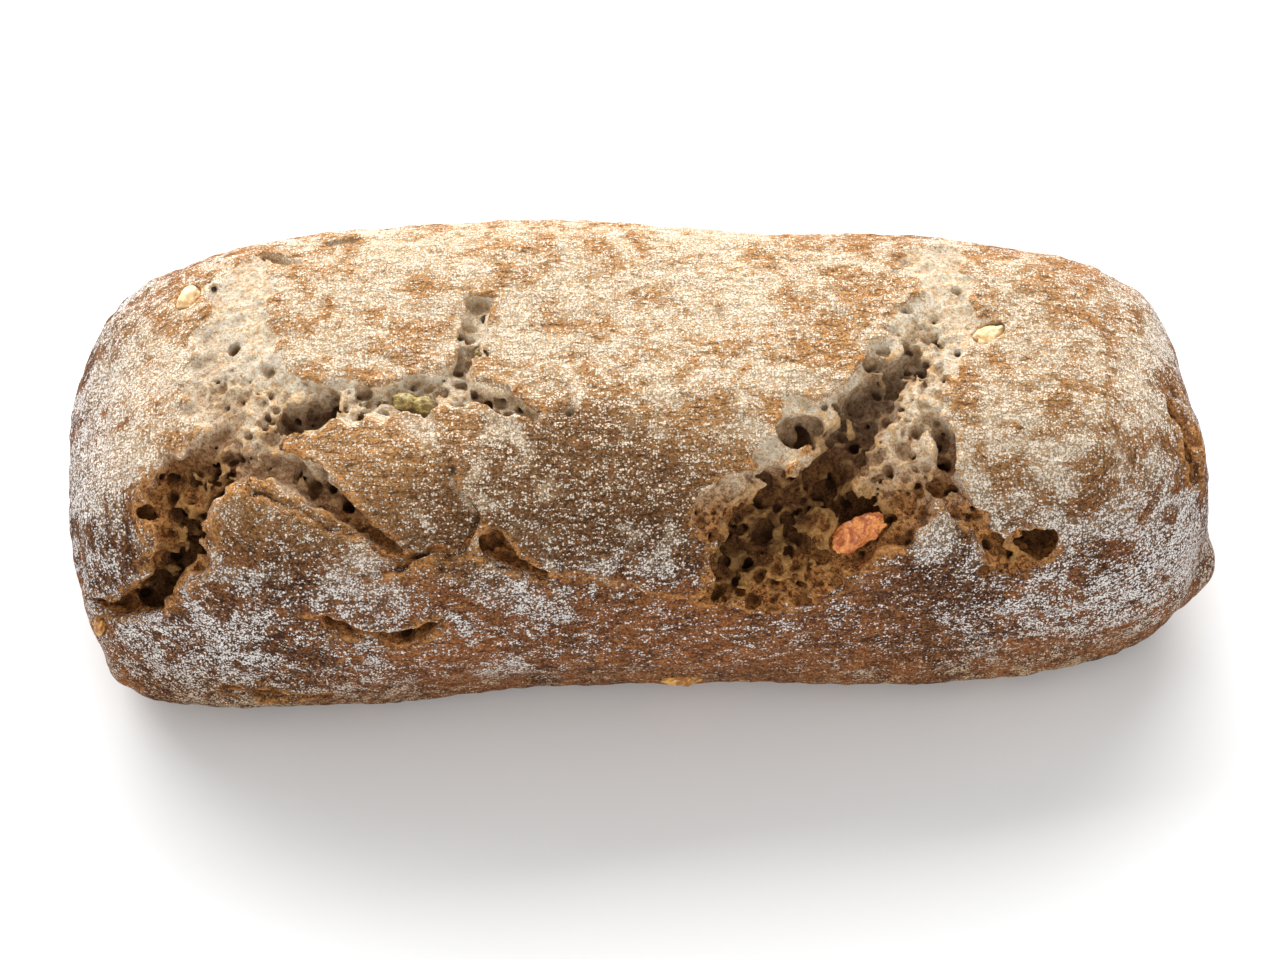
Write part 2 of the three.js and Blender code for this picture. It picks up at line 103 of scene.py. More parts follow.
# --------------------------------------------------------------------------------------------------- tears
# Routes of [along, up, half width, depth]: wide shallow ones and the deeper ones in them.
TEARS = [
    [  # over the left of the crown
        (-0.66, 0.9, 4, 0.5), (-0.7, 0.74, 6.5, 0.9), (-0.72, 0.52, 8.5, 1.1), (-0.7, 0.32, 9.5, 1.5),
        (-0.63, 0.22, 9, 2), (-0.53, 0.28, 6, 2.3), (-0.41, 0.29, 3.8, 2.6), (-0.33, 0.33, 3.4, 2.8),
    ],
    [(-0.33, 0.33, 3.4, 2.8), (-0.3, 0.44, 3, 2.6), (-0.28, 0.57, 2.8, 2.2), (-0.27, 0.68, 2.6, 1.6)],
    [(-0.34, 0.31, 3.4, 2.6), (-0.27, 0.29, 4, 2.8), (-0.23, 0.26, 3.6, 2.6), (-0.18, 0.2, 2.8, 2)],
    [  # down the left of the front
        (-0.64, 0.12, 7, 2.2), (-0.72, 0.02, 8.5, 3.2), (-0.78, -0.12, 9, 3.8), (-0.78, -0.3, 8.5, 4.2),
        (-0.81, -0.46, 5, 5), (-0.86, -0.56, 3, 5.4), (-0.91, -0.58, 2, 4), (-0.955, -0.53, 1.6, 3),
    ],
    [  # its branch under the crust plate
        (-0.64, 0.04, 5, 3), (-0.6, -0.01, 4, 3.4), (-0.55, -0.08, 4, 3.4), (-0.5, -0.18, 2.8, 3),
        (-0.47, -0.26, 1.7, 2.6), (-0.41, -0.36, 1, 1.6),
    ],
    [  # down the right of the crown and front: wide and shallow
        (0.54, 0.9, 4, 0.5), (0.54, 0.78, 7, 0.9), (0.51, 0.56, 10, 1.4), (0.46, 0.27, 9.5, 2.2),
        (0.4, 0.09, 13, 2.2), (0.36, -0.14, 15.5, 2.4), (0.27, -0.37, 12.5, 2.4), (0.21, -0.53, 8, 1.8),
    ],
    [  # and its deep middle
        (0.5, 0.56, 3, 2.6), (0.44, 0.36, 5.5, 4.6), (0.38, 0.2, 6, 5.6), (0.33, -0.04, 6.5, 7),
        (0.26, -0.19, 8, 7.2), (0.19, -0.34, 8, 7), (0.14, -0.5, 5, 5.6), (0.12, -0.58, 3, 3),
    ],
    [  # the branch on its right
        (0.49, 0.14, 3, 3), (0.515, 0.06, 2.8, 4), (0.51, -0.08, 2.6, 3.4), (0.53, -0.2, 2.8, 2.4),
        (0.57, -0.3, 2.4, 1),
    ],
    [(0.27, 0.13, 5, 1.4), (0.22, -0.02, 4.5, 1.2), (0.15, -0.15, 4.5, 1.4), (0.11, -0.27, 3.6, 1.4)],
    [(0.57, -0.32, 2, 1), (0.6, -0.42, 3.6, 1.2), (0.655, -0.43, 4.6, 1.4)],
    [(-0.53, -0.67, 1.6, 2.6), (-0.46, -0.7, 2.2, 4.4), (-0.41, -0.73, 3.6, 6), (-0.36, -0.66, 2, 4)],
    [(-0.26, -0.33, 2.8, 5), (-0.22, -0.41, 1.9, 4), (-0.17, -0.46, 1.3, 2.4)],
    [(0.925, 0.2, 2, 2), (0.94, 0.08, 3, 4.4), (0.945, -0.04, 3.2, 5), (0.95, -0.12, 2, 3)],
    [(-0.66, 0.93, 1.4, 1.8), (-0.62, 0.9, 1.5, 2.6), (-0.59, 0.89, 1, 1.4)],
    [(-0.54, 0.975, 1.3, 1.8), (-0.5, 0.98, 1.5, 2.4)],
    [(-0.73, -0.94, 1.2, 1.8), (-0.66, -0.97, 1.6, 3), (-0.55, -0.98, 1.1, 1.8)],
]

# Edges of crust plates: routes of [along, up], how high the plate on the route's left stands (on its right,
# if under 0), and how far back from the edge it comes down.
LEDGES = [
    ([(-0.69, -0.05), (-0.62, -0.14), (-0.52, -0.26), (-0.42, -0.36), (-0.34, -0.42)], -1.3, 9),
    ([(-0.77, -0.42), (-0.73, -0.25), (-0.69, -0.05)], -1.2, 8),
    ([(-0.3, -0.08), (-0.27, -0.22), (-0.3, -0.36), (-0.41, -0.42)], 2, 8),
    ([(-0.25, -0.36), (-0.15, -0.47), (-0.04, -0.5), (0.05, -0.58), (0.12, -0.6)], 1.6, 6),
    ([(-0.56, -0.63), (-0.46, -0.68), (-0.38, -0.68), (-0.32, -0.6)], 1.4, 6),
    ([(0.27, -0.5), (0.4, -0.4), (0.48, -0.22), (0.5, -0.1)], -1, 6),
    ([(0.935, 0.24), (0.95, 0.08), (0.955, -0.1)], 1.2, 4),
]

# Where the crust has more flour (less, if under 0) or is darker (lighter, if under 0): the darker patches are
# partly darker baking and partly painted shade over the middle of the front, and the lighter ones are painted
# light.
# [along, up, radius in mm, amount].
FLOURED = [
    (0.1, 0.75, 22, 0.1), (-0.2, 0.62, 14, 0.12), (-0.56, 0.5, 10, 0.12), (-0.95, 0.05, 14, 0.12),
    (0, -0.38, 8, 0.14), (-0.1, -0.04, 13, -0.14), (0.12, 0.1, 10, -0.06), (-0.5, -0.42, 10, 0.08),
    (-0.72, -0.8, 14, 0.1),
    (0.2, -0.68, 10, 0.08), (0.62, 0.62, 8, 0.1), (0.6, 0.26, 9, 0.05), (0.68, 0.02, 15, 0.06),
    (0.5, -0.34, 6, 0.15), (0.9, -0.42, 12, 0.1), (0.92, 0.5, 6, 0.14), (0.7, -0.75, 10, 0.06),
    (-0.13, -0.55, 8, 0.08), (-0.02, 0.22, 8, 0.06),
    (-0.45, 0.95, 12, 0.14), (0.42, -0.55, 9, -0.2), (0.55, 0.3, 5, -0.1), (0.02, -0.12, 12, -0.06),
    (-0.62, -0.28, 9, -0.14),
    (-0.4, -0.12, 10, -0.12), (0.1, -0.86, 30, -0.16), (-0.6, 0.15, 10, -0.1), (-0.88, 0.4, 13, 0.09),
]
DARKER_BAKING_AND_SHADE = [
    (-0.24, -0.1, 12, 0.6), (0.02, -0.1, 22, 0.5), (-0.12, 0, 15, 1.4), (-0.36, -0.2, 10, 0.5),
    (0.04, -0.2, 14, 0.7), (0.2, 0, 8, 0.6), (0.5, -0.42, 14, 0.9), (-0.55, -0.3, 14, 0.4),
    (-0.3, 0, 16, 0.4), (0.75, 0.05, 14, 0.3), (-0.5, 0.8, 20, -0.5), (0.1, 0.85, 30, -0.4),
    (0.75, 0.7, 16, -0.4), (0, -0.85, 20, -0.2), (-0.85, 0.3, 14, -0.3),
]

# Large pores: [along, up, radius, depth of the middle], in mm but for the first two.
PORES = [
    (0.27, 0.12, 4.4, 1.6), (0.275, 0.07, 2.6, 4), (0.3, -0.05, 2, 4), (0.41, 0.33, 2.6, 4.2),
    (0.47, 0.5, 1.6, 2.4), (0.51, 0.53, 1.2, 2.2), (0.33, 0.01, 1.8, 5), (0.31, -0.09, 5.2, 6.5),
    (0.22, -0.17, 4, 5), (0.27, -0.19, 3, 6.5), (0.36, -0.24, 4.6, 6), (0.15, -0.24, 2, 1.6),
    (0.12, -0.25, 1.6, 1), (0.21, -0.34, 2.6, 6.5), (0.25, -0.38, 2.2, 6.5), (0.17, -0.38, 3.2, 5.6),
    (0.12, -0.35, 1.8, 2), (0.1, -0.56, 2.4, 2), (0.16, -0.59, 1.8, 3), (0.27, -0.61, 1.8, 1),
    (0.2, -0.47, 2.4, 5), (0.38, 0.26, 4, 4.6), (0.51, 0.08, 2.6, 4), (0.5, -0.14, 2.2, 3),
    (0.675, -0.4, 4.2, 4), (0.595, -0.38, 2.1, 2.6), (0.61, -0.49, 1.3, 0.8), (0.69, -0.36, 2, 1.4),
    (0.58, -0.5, 1.6, 0.6), (0.63, -0.5, 1, 0.6), (-0.55, 0.25, 4.6, 3.8), (-0.59, 0.22, 3.2, 3.6),
    (-0.84, -0.55, 4.4, 5), (-0.8, -0.53, 3, 5), (-0.81, -0.03, 2, 2), (-0.77, 0.04, 1.8, 3.6),
    (-0.73, 0, 2, 4.6), (-0.72, -0.15, 2.8, 5), (-0.85, -0.18, 2.4, 2), (-0.8, -0.19, 1.8, 4.4),
    (-0.53, -0.09, 2.4, 3.4), (-0.5, -0.17, 1.6, 2.6), (-0.27, 0.46, 2.4, 2.2), (-0.29, 0.6, 1.8, 1.6),
    (-0.28, 0.69, 2.1, 1.2), (-0.25, -0.34, 2.6, 1.6), (-0.41, -0.73, 2.8, 3.4), (-0.2, 0.2, 2.4, 2.4),
    (-0.36, 0.22, 1.6, 1.4), (0.945, 0.02, 2.4, 2.8), (-0.74, -0.31, 1.8, 5), (-0.12, 0.21, 1.4, 0.6),
    (-0.37, -0.4, 1.2, 1), (0.56, 0.72, 1.2, 1.2), (-0.47, 0.33, 1.6, 2.6), (-0.7, 0.52, 1.4, 2),
]

# Crowds of pores: [along, up, reach, count, least radius, most].
PORE_CLUSTERS = [
    (0.14, -0.5, 8, 26, 1, 2.2), (0.2, -0.4, 9, 26, 1, 2.4), (0.27, -0.25, 9, 16, 1.2, 2.4),
    (0.33, -0.02, 8, 12, 1, 2), (0.27, -0.55, 7, 14, 0.8, 1.6), (0.4, 0.25, 8, 14, 0.8, 2),
    (0.5, -0.1, 7, 12, 0.8, 1.6),
    (-0.78, -0.2, 12, 60, 0.6, 1.7), (-0.77, -0.4, 8, 30, 0.7, 1.7), (-0.7, 0, 8, 14, 0.8, 1.6),
    (-0.52, -0.12, 8, 22, 0.8, 1.6), (-0.3, 0.3, 10, 14, 0.8, 1.6), (0.63, -0.42, 7, 12, 0.7, 1.4),
]

# Walnut pieces: (along, up), depth of the middle, the three sizes, and the turn on the crust in degrees.
WALNUTS = {
    "left_shoulder": ((-0.79, 0.74), 0.6, (8, 5.6, 5), 70),
    "left_tear": ((-0.385, 0.29), 3.0, (11, 4.8, 4.4), -18),
    "small_pore": ((-0.27, 0.5), 3, (4, 3.2, 3.2), 40),
    "right_tear": ((0.365, -0.345), 3.2, (14, 7, 5.4), 30),
    "right_shoulder": ((0.61, 0.53), 2.1, (9.5, 5, 4.4), 30),
    "front_base": ((0.065, -0.95), -0.1, (9.5, 5, 4), 6),
    "left_end": ((-0.945, -0.66), 0.4, (7, 4, 4), 75),
}
WAISTS = {"left_tear": 0.45, "right_tear": 0.12, "front_base": 0.2}  # how far the middle is drawn in
POCKET_CLEARANCE = 0.05


def smooth(x, low, high):
    t = np.clip((x - low) / (high - low), 0, 1)
    return t * t * (3 - 2 * t)


def fullness(x, y, z):
    """Under 1 inside the form, 1 on it and over 1 outside it."""
    share = x / HALF_LENGTH
    t = (share + 1) / 2
    half_width = (LEFT_WIDTH + (RIGHT_WIDTH - LEFT_WIDTH) * t) / 2
    rise = LEFT_HEIGHT + (RIGHT_HEIGHT - LEFT_HEIGHT) * t - SHOULDER_HEIGHT
    above = z > SHOULDER_HEIGHT
    px, py = share, y / half_width
    pz = (z - SHOULDER_HEIGHT) / np.where(above, rise, SHOULDER_HEIGHT + PRESSED_FLAT)
    r = np.sqrt(px**2 + py**2 + pz**2) + 1e-6
    dx, dy, dz = px / r, py / r, pz / r
    high = smooth(dz, -0.2, 0.7)
    rightness = smooth(dx, -0.3, 0.3)
    top = LEFT_CORNER_POWER + (RIGHT_CORNER_POWER - LEFT_CORNER_POWER) * rightness
    along = BASE_CORNER_POWER + (top - BASE_CORNER_POWER) * high
    # The section is a superellipse of power 3 above the shoulder and 4 below it.
    ay, az = np.abs(dy), np.abs(dz)
    section = np.where(above, np.cbrt(ay**3 + az**3), (ay**4 + az**4) ** 0.25)
    reach = (np.abs(dx) ** along + section**along) ** (-1 / along)
    waves = np.sin(5.1 * dx + 3.3 * dy + 0.6) + np.sin(6.7 * dy - 4.2 * dx + 3.9 * dz)
    waves = waves + np.sin(8.3 * dx - 5.7 * dz)
    height = WAVE_HEIGHT * waves / 2
    for towards, swell, spread in SWELLINGS:
        t = np.array(towards) / np.linalg.norm(towards)
        away2 = (dx - t[0]) ** 2 + (dy - t[1]) ** 2 + (dz - t[2]) ** 2
        height = height + swell * np.exp(-away2 / spread**2)
    size = np.sqrt((dx * HALF_LENGTH) ** 2 + (dy * HALF_WIDTH) ** 2 + (dz * HALF_HEIGHT) ** 2)
    return r / (reach * (1 + height / size))


def on_crust(along, up):
    """The point of the crust straight in from a place on the face plane, and the way out of the crust."""
    start = FACE_CENTRE + FACE_UP * up * HALF_WIDTH + np.array([along * HALF_LENGTH, 0, 0])
    steps = np.arange(1.5 * HALF_WIDTH, -1.5 * HALF_WIDTH, -0.05)
    line = start + FACE_NORMAL * steps[:, None]
    inside = np.nonzero(fullness(*line.T) < 1)[0]
    point = line[inside[0]]
    near = point + np.vstack([np.zeros(3), np.eye(3) * 0.1])
    value = fullness(*near.T)
    outward = value[1:] - value[0]
    return point, outward / np.linalg.norm(outward)


def crust_axes(outward, turn=0.0):
    x = np.array([1.0, 0, 0])
    x -= outward * outward[0]
    x /= np.linalg.norm(x)
    y = np.cross(outward, x)
    c, s = math.cos(math.radians(turn)), math.sin(math.radians(turn))
    return np.array([x * c + y * s, y * c - x * s, outward])


# ---------------------------------------------------------------------------------------------------- grid
LOW = np.array([-126.0, -55.0, -2.0])
HIGH = np.array([128.0, 55.0, 78.0])
counts = [int(n) for n in np.round((HIGH - LOW) / STEP)]
axes = [(LOW[k] + STEP * np.arange(counts[k])).astype(np.float32) for k in range(3)]
gx, gy, gz = np.meshgrid(*axes, indexing="ij", sparse=True)


def lattice_noise(wave, seed, stretch=(1, 1, 1)):
    """Smooth noise over the whole grid, about -1 to 1, with waves longer along the stretched axes."""
    draw = np.random.default_rng(seed)
    weights = []
    for k in range(3):
        place = (axes[k] - LOW[k]) / (wave * stretch[k])
        cells = int(place.max()) + 4
        near = np.abs(place[:, None] + 1 - np.arange(cells))  # cubic B-spline weights
        w = np.where(near < 1, 2 / 3 - near**2 + near**3 / 2, np.clip(2 - near, 0, None) ** 3 / 6)
        weights.append(w.astype(np.float32))
    lattice = draw.uniform(-2.6, 2.6, [w.shape[1] for w in weights]).astype(np.float32)
    lattice = np.tensordot(weights[0], lattice, (1, 0))
    lattice = np.einsum("ym,xmn->xyn", weights[1], lattice, optimize=True)
    return np.einsum("zn,xyn->xyz", weights[2], lattice, optimize=True)


def grid_index(points):
    return (points - LOW) / STEP


def sample(volume, points):
    """Values of a volume at points, between its grid's points."""
    at = np.clip(grid_index(points), 0, np.array(volume.shape) - 1.001)
    low = at.astype(np.int32)
    t = (at - low).astype(np.float32)
    out = np.zeros(len(points), np.float32)
    for corner in range(8):
        step = [(corner >> k) & 1 for k in range(3)]
        weight = np.ones(len(points), np.float32)
        for k in range(3):
            weight *= t[:, k] if step[k] else 1 - t[:, k]
        out += weight * volume[low[:, 0] + step[0], low[:, 1] + step[1], low[:, 2] + step[2]]
    return out


form = fullness(gx, gy, gz).astype(np.float32)
slope = np.gradient(form, STEP)
steep = np.sqrt(sum(s**2 for s in slope)) + 1e-6
whole = (form - 1) / steep  # distance out of the whole form
outward = [s / steep for s in slope]
del form, slope, steep

noise_18 = lattice_noise(18, 1)
noise_7 = lattice_noise(7, 2)
noise_3 = lattice_noise(3, 3)
noise_1 = lattice_noise(1.6, 4)
wrinkle = lattice_noise(1.5, 5, (4, 1, 1))
end_wrinkle = lattice_noise(1.7, 6, (1, 4, 3))
bumps = 0.5 * noise_18 + 0.28 * noise_7 + 0.14 * noise_3 + 0.07 * noise_1
crust_level = whole - bumps
del noise_18


class Legs:
    """Runs between points on the crust, for the distance to them."""

    def __init__(self, route):
        self.knots = [on_crust(a, u) for a, u, *_ in route]
        self.values = [np.array(rest) for _, _, *rest in route]

    def __iter__(self):
        for i in range(len(self.knots) - 1):
            yield self.knots[i], self.knots[i + 1], self.values[i], self.values[i + 1]


def block(points, margin):
    """The part of the grid within a margin of points, as slices."""
    low = np.clip(np.floor(grid_index(np.min(points, 0) - margin)), 0, None).astype(int)
    high = np.ceil(grid_index(np.max(points, 0) + margin)).astype(int) + 1
    return tuple(slice(a, b) for a, b in zip(low, high))


def block_points(at):
    """Coordinates of a block's points, and the points of the form's surface next to them."""
    x, y, z = np.meshgrid(*(axes[k][at[k]] for k in range(3)), indexing="ij")
    points = np.stack([x, y, z], -1)
    away = whole[at]
    surface = points - np.stack([o[at] for o in outward], -1) * away[..., None]
    return points, surface


fray = 1.5 * noise_3 + 1.2 * noise_1  # how far the tears' edges stray, in mm
offset = np.full(whole.shape, 9, np.float32)  # from the nearest tear's middle, in its half widths
cut = np.zeros(whole.shape, np.float32)
hollow = np.zeros(whole.shape, np.float32)
width = np.ones(whole.shape, np.float32)
nearest_depth = np.zeros(whole.shape, np.float32)
for route in TEARS:
    for (a, _), (b, _), from_values, to_values in Legs(route):
        reach = 1.9 * max(from_values[0], to_values[0]) + 1
        at = block([a, b], reach + max(from_values[1], to_values[1]))
        _, surface = block_points(at)
        t = np.clip(((surface - a) @ (b - a)) / ((b - a) @ (b - a)), 0, 1)
        distance = np.linalg.norm(surface - (a + t[..., None] * (b - a)), axis=-1)
        half_width = from_values[0] + (to_values[0] - from_values[0]) * t
        deep = from_values[1] + (to_values[1] - from_values[1]) * t
        # Wide shallow tears have no clear edge, and narrow ones stray less.
        soft = (1 - smooth(deep, 0.8, 2.6)) * smooth(half_width, 3, 6)
        stray = fray[at] * np.minimum(1, half_width / 4) ** 1.5 + 0.16 * half_width * noise_7[at]
        stray = (1 + soft) * stray
        ragged = (distance + stray) / half_width
        share = 1 - smooth(ragged, 1 - np.clip(deep / half_width, 0.12, 0.5) - 0.35 * soft, 1 + 0.1 * soft)
        cut[at] = np.maximum(cut[at], deep * share)
        hollow[at] = np.maximum(hollow[at], share)
        nearer = ragged < offset[at]
        offset[at] = np.where(nearer, ragged, offset[at])
        width[at] = np.where(nearer, half_width, width[at])
        nearest_depth[at] = np.where(nearer, deep, nearest_depth[at])

lip = np.minimum(1, nearest_depth / FULL_LIP_DEPTH) * np.exp(-(((offset - 1) * width / LIP_WIDTH - 0.8) ** 2))
lip *= (1 - smooth(hollow, 0.2, 0.6)) * (0.7 + noise_7 + 0.8 * noise_3)
crumb_relief = 1.5 * np.abs(noise_3) + 1.7 * np.abs(noise_1) - 0.85  # cells with thin walls between them
level = crust_level - LIP_HEIGHT * lip
level += cut * (1 + 0.2 * noise_7) + hollow * np.clip(cut / 2, 0.45, 1) * crumb_relief

rim = np.clip(lip, 0, 1)
del lip, offset, width, nearest_depth

# Crust plates: one side of a ledge's route stands higher, next to the edge.
for route, rise, run in LEDGES:
    points = [on_crust(a, u) for a, u in route]
    at = block([p for p, _ in points], 2 * run + 3)
    _, surface = block_points(at)
    nearest = np.full(surface.shape[:-1], 1e9, np.float32)
    side = np.zeros_like(nearest)
    for (a, na), (b, nb) in zip(points, points[1:]):
        t = np.clip(((surface - a) @ (b - a)) / ((b - a) @ (b - a)), 0, 1)
        foot = surface - (a + t[..., None] * (b - a))
        distance = np.linalg.norm(foot, axis=-1)
        left = foot @ np.cross(na + nb, b - a)
        nearer = distance < nearest
        side = np.where(nearer, np.sign(left), side)
        nearest = np.where(nearer, distance, nearest)
    signed = nearest * side * np.sign(rise) + 1.2 * noise_3[at] + 0.7 * noise_1[at]
    plate = smooth(signed, -0.3, 0.4) * np.exp(-((np.clip(signed, 0, None) / run) ** 2))
    edge = np.exp(-((signed / 0.9) ** 2))
    gone = smooth(hollow[at], 0.0, 0.6)
    groove = 0.9 * abs(rise) * smooth(-signed, 0, 0.6) * np.exp(-np.clip(-signed, 0, None) / 1.2)
    level[at] -= abs(rise) * plate * (1 - gone)
    level[at] += groove * (1 - gone)
    rim[at] = np.maximum(rim[at], edge * (1 - gone) * 0.8)


def carve(centre, axes3, sizes, wobble=0.22):
    """Takes an uneven ellipsoid out of the loaf."""
    at = block([centre], max(sizes) * 1.4 + STEP)
    x, y, z = np.meshgrid(*(axes[k][at[k]] - centre[k] for k in range(3)), indexing="ij")
    local = np.stack([x, y, z], -1) @ np.asarray(axes3).T / np.array(sizes)
    inside = 1 + wobble * (noise_3[at] + noise_1[at]) - np.linalg.norm(local, axis=-1)
    level[at] = np.maximum(level[at], inside * min(sizes))


for number, (along, up, radius, under) in enumerate(PORES):
    point, out = on_crust(along, up)
    turn = 37 * number
    carve(point - out * under, crust_axes(out, turn), (radius * 1.1, radius * 0.9, radius * 1.05), 0.14)

# Pores all over the torn crumb, more of the smallest.
for count, least, most, shallowest in ((90, 1.0, 2.6, 3.0), (1400, 0.45, 1.1, 1.3)):
    torn = np.argwhere((hollow > 0.3) & (cut > shallowest) & (np.abs(level) < 1.0))
    for cell in torn[rng.choice(len(torn), count)]:
        centre = LOW + STEP * cell + rng.uniform(-0.5, 0.5, 3)
        radius = least + (most - least) * rng.random() ** 2
        turn = np.linalg.qr(rng.normal(size=(3, 3)))[0]
        carve(centre, turn, radius * rng.uniform(0.6, 1.4, 3), 0.3)

for along, up, spread, count, least, most in PORE_CLUSTERS:
    point, _ = on_crust(along, up)
    at = block([point], spread)
    near = np.argwhere((hollow[at] > 0.3) & (np.abs(level[at]) < 1.0)) + [a.start for a in at]
    for cell in near[rng.choice(len(near), count)]:
        centre = LOW + STEP * cell + rng.uniform(-0.5, 0.5, 3)
        radius = rng.uniform(least, most)
        turn = np.linalg.qr(rng.normal(size=(3, 3)))[0]
        carve(centre, turn, radius * np.array([1.5, 0.9, 0.8]), 0.3)

pockets = {}
for name, (place, under, size, turn) in WALNUTS.items():
    point, out = on_crust(*place)
    pockets[name] = (point - out * under, crust_axes(out, turn), np.array(size) / 2)
    carve(pockets[name][0], pockets[name][1], np.array(size) / 2 + POCKET_CLEARANCE, 0.0)

level = np.maximum(level, BASE_LEVEL - gz)  # the flat base

grid = openvdb.FloatGrid(BAND)
grid.copyFromArray(np.clip(level, -BAND, BAND).astype(np.float32))
corners, quads = grid.convertToQuads(0.0)[:2]
corners = np.asarray(corners, np.float64) * STEP + LOW
quads = np.asarray(quads, np.int64)

# The largest connected surface alone, without sealed bubbles.
label = np.arange(len(corners))
while True:
    lowest = label[quads].min(1)
    new = label.copy()
    for k in range(4):
        np.minimum.at(new, quads[:, k], lowest)
    new = new[new]
    if (new == label).all():
        break
    label = new
biggest = np.bincount(label).argmax()
quads = quads[label[quads[:, 0]] == biggest]
used, quads = np.unique(quads, return_inverse=True)
quads = quads.reshape(-1, 4)
corners = corners[used]


def mesh_object(name, points, faces):
    """An object of smooth faces, from points in millimetres."""
    me = bpy.data.meshes.new(name)
    me.vertices.add(len(points))
    me.vertices.foreach_set("co", (points * MM).astype(np.float32).ravel())
    me.loops.add(faces.size)
    me.loops.foreach_set("vertex_index", faces.astype(np.int32).ravel())
    me.polygons.add(len(faces))
    me.polygons.foreach_set("loop_start", np.arange(0, faces.size, faces.shape[1], dtype=np.int32))
    me.update(calc_edges=True)
    me.polygons.foreach_set("use_smooth", np.ones(len(faces), bool))
    ob = bpy.data.objects.new(name, me)
    bpy.context.collection.objects.link(ob)
    return ob


def face_out(points, faces):
    a, b, c = points[faces[:, 0]], points[faces[:, 1]], points[faces[:, 2]]
    volume = np.einsum("ij,ij->i", a, np.cross(b, c)).sum()
    return faces if volume > 0 else faces[:, ::-1]


quads = face_out(corners, quads)


def blurred(volume, reach):
    """Means over a cube of a given reach round each grid point, taken twice to soften them."""
    cells = round(reach / STEP)
    for _ in range(2):
        for _ in range(3):
            padded = np.pad(volume, ((cells + 1, cells), (0, 0), (0, 0)), mode="edge")
            total = np.cumsum(padded, axis=0)
            volume = (total[2 * cells + 1 :] - total[: -2 * cells - 1]) / (2 * cells + 1)
            volume = volume.transpose(1, 2, 0)
    return volume


# What the material needs to know at each point of the surface.
solid = np.clip(0.5 - level / STEP, 0, 1)
cavity = sample(blurred(solid, CAVITY_REACH), corners) - 0.5  # over 0 in pores and under 0 on edges
height_above_crust = sample(crust_level, corners)
rimness = sample(rim, corners)
tornness = sample(hollow, corners)

# Wrinkles run along the loaf and round its ends: 'across' is the way over them.
mid_x = np.clip(corners[:, 0], STRAIGHT_FROM, STRAIGHT_TO)
over = np.hypot(corners[:, 0] - mid_x, (corners - FACE_CENTRE) @ FACE_UP)


def patches(table):
    """The sum of soft round patches at each point of the surface."""
    places = np.stack([corners[:, 0], (corners - FACE_CENTRE) @ FACE_UP])
    total = np.zeros(len(corners))
    for along, up, radius, amount in table:
        away2 = (places[0] - along * HALF_LENGTH) ** 2 + (places[1] - up * HALF_WIDTH) ** 2
        total += amount * np.exp(-away2 / radius**2)
    return total


floured = patches(FLOURED)
dark = patches(DARKER_BAKING_AND_SHADE)
crust = np.clip(1 - np.abs(height_above_crust) / 1.2, 0, 1) * (1 - tornness)
normals_mesh = mesh_object("scratch", corners, quads)
normals = np.empty(len(corners) * 3, np.float32)
normals_mesh.data.vertex_normals.foreach_get("vector", normals)
normals = normals.reshape(-1, 3)
bpy.data.objects.remove(normals_mesh)

at_end = smooth(np.abs(corners[:, 0]), END_WRINKLES_FROM, END_WRINKLES_TO)
fine = sample(wrinkle, corners) * WRINKLE_HEIGHT * (1 - at_end)
fine = fine + sample(end_wrinkle, corners) * END_WRINKLE_HEIGHT * at_end
fine += sample(noise_1, corners) * GRAIN_HEIGHT
corners = corners + normals * (fine * crust)[:, None]
corners[:, 2] = np.maximum(corners[:, 2], 0.0)

loaf = mesh_object("loaf", corners, quads)
for attribute, values in {
    "depth": np.clip(-height_above_crust, 0, DEEPEST) / DEEPEST,
    "rim": rimness,
    "torn": tornness,
    "across": over,
    "floured": floured,
    "dark": dark,
    "cavity": cavity,
}.items():
    layer = loaf.data.attributes.new(attribute, "FLOAT", "POINT")
    layer.data.foreach_set("value", values.astype(np.float32))


# ----------------------------------------------------------------------------------------------- materials
def srgb(text):
    value = [int(text[i : i + 2], 16) / 255 for i in (0, 2, 4)]
    return [v / 12.92 if v <= 0.04045 else ((v + 0.055) / 1.055) ** 2.4 for v in value] + [1.0]


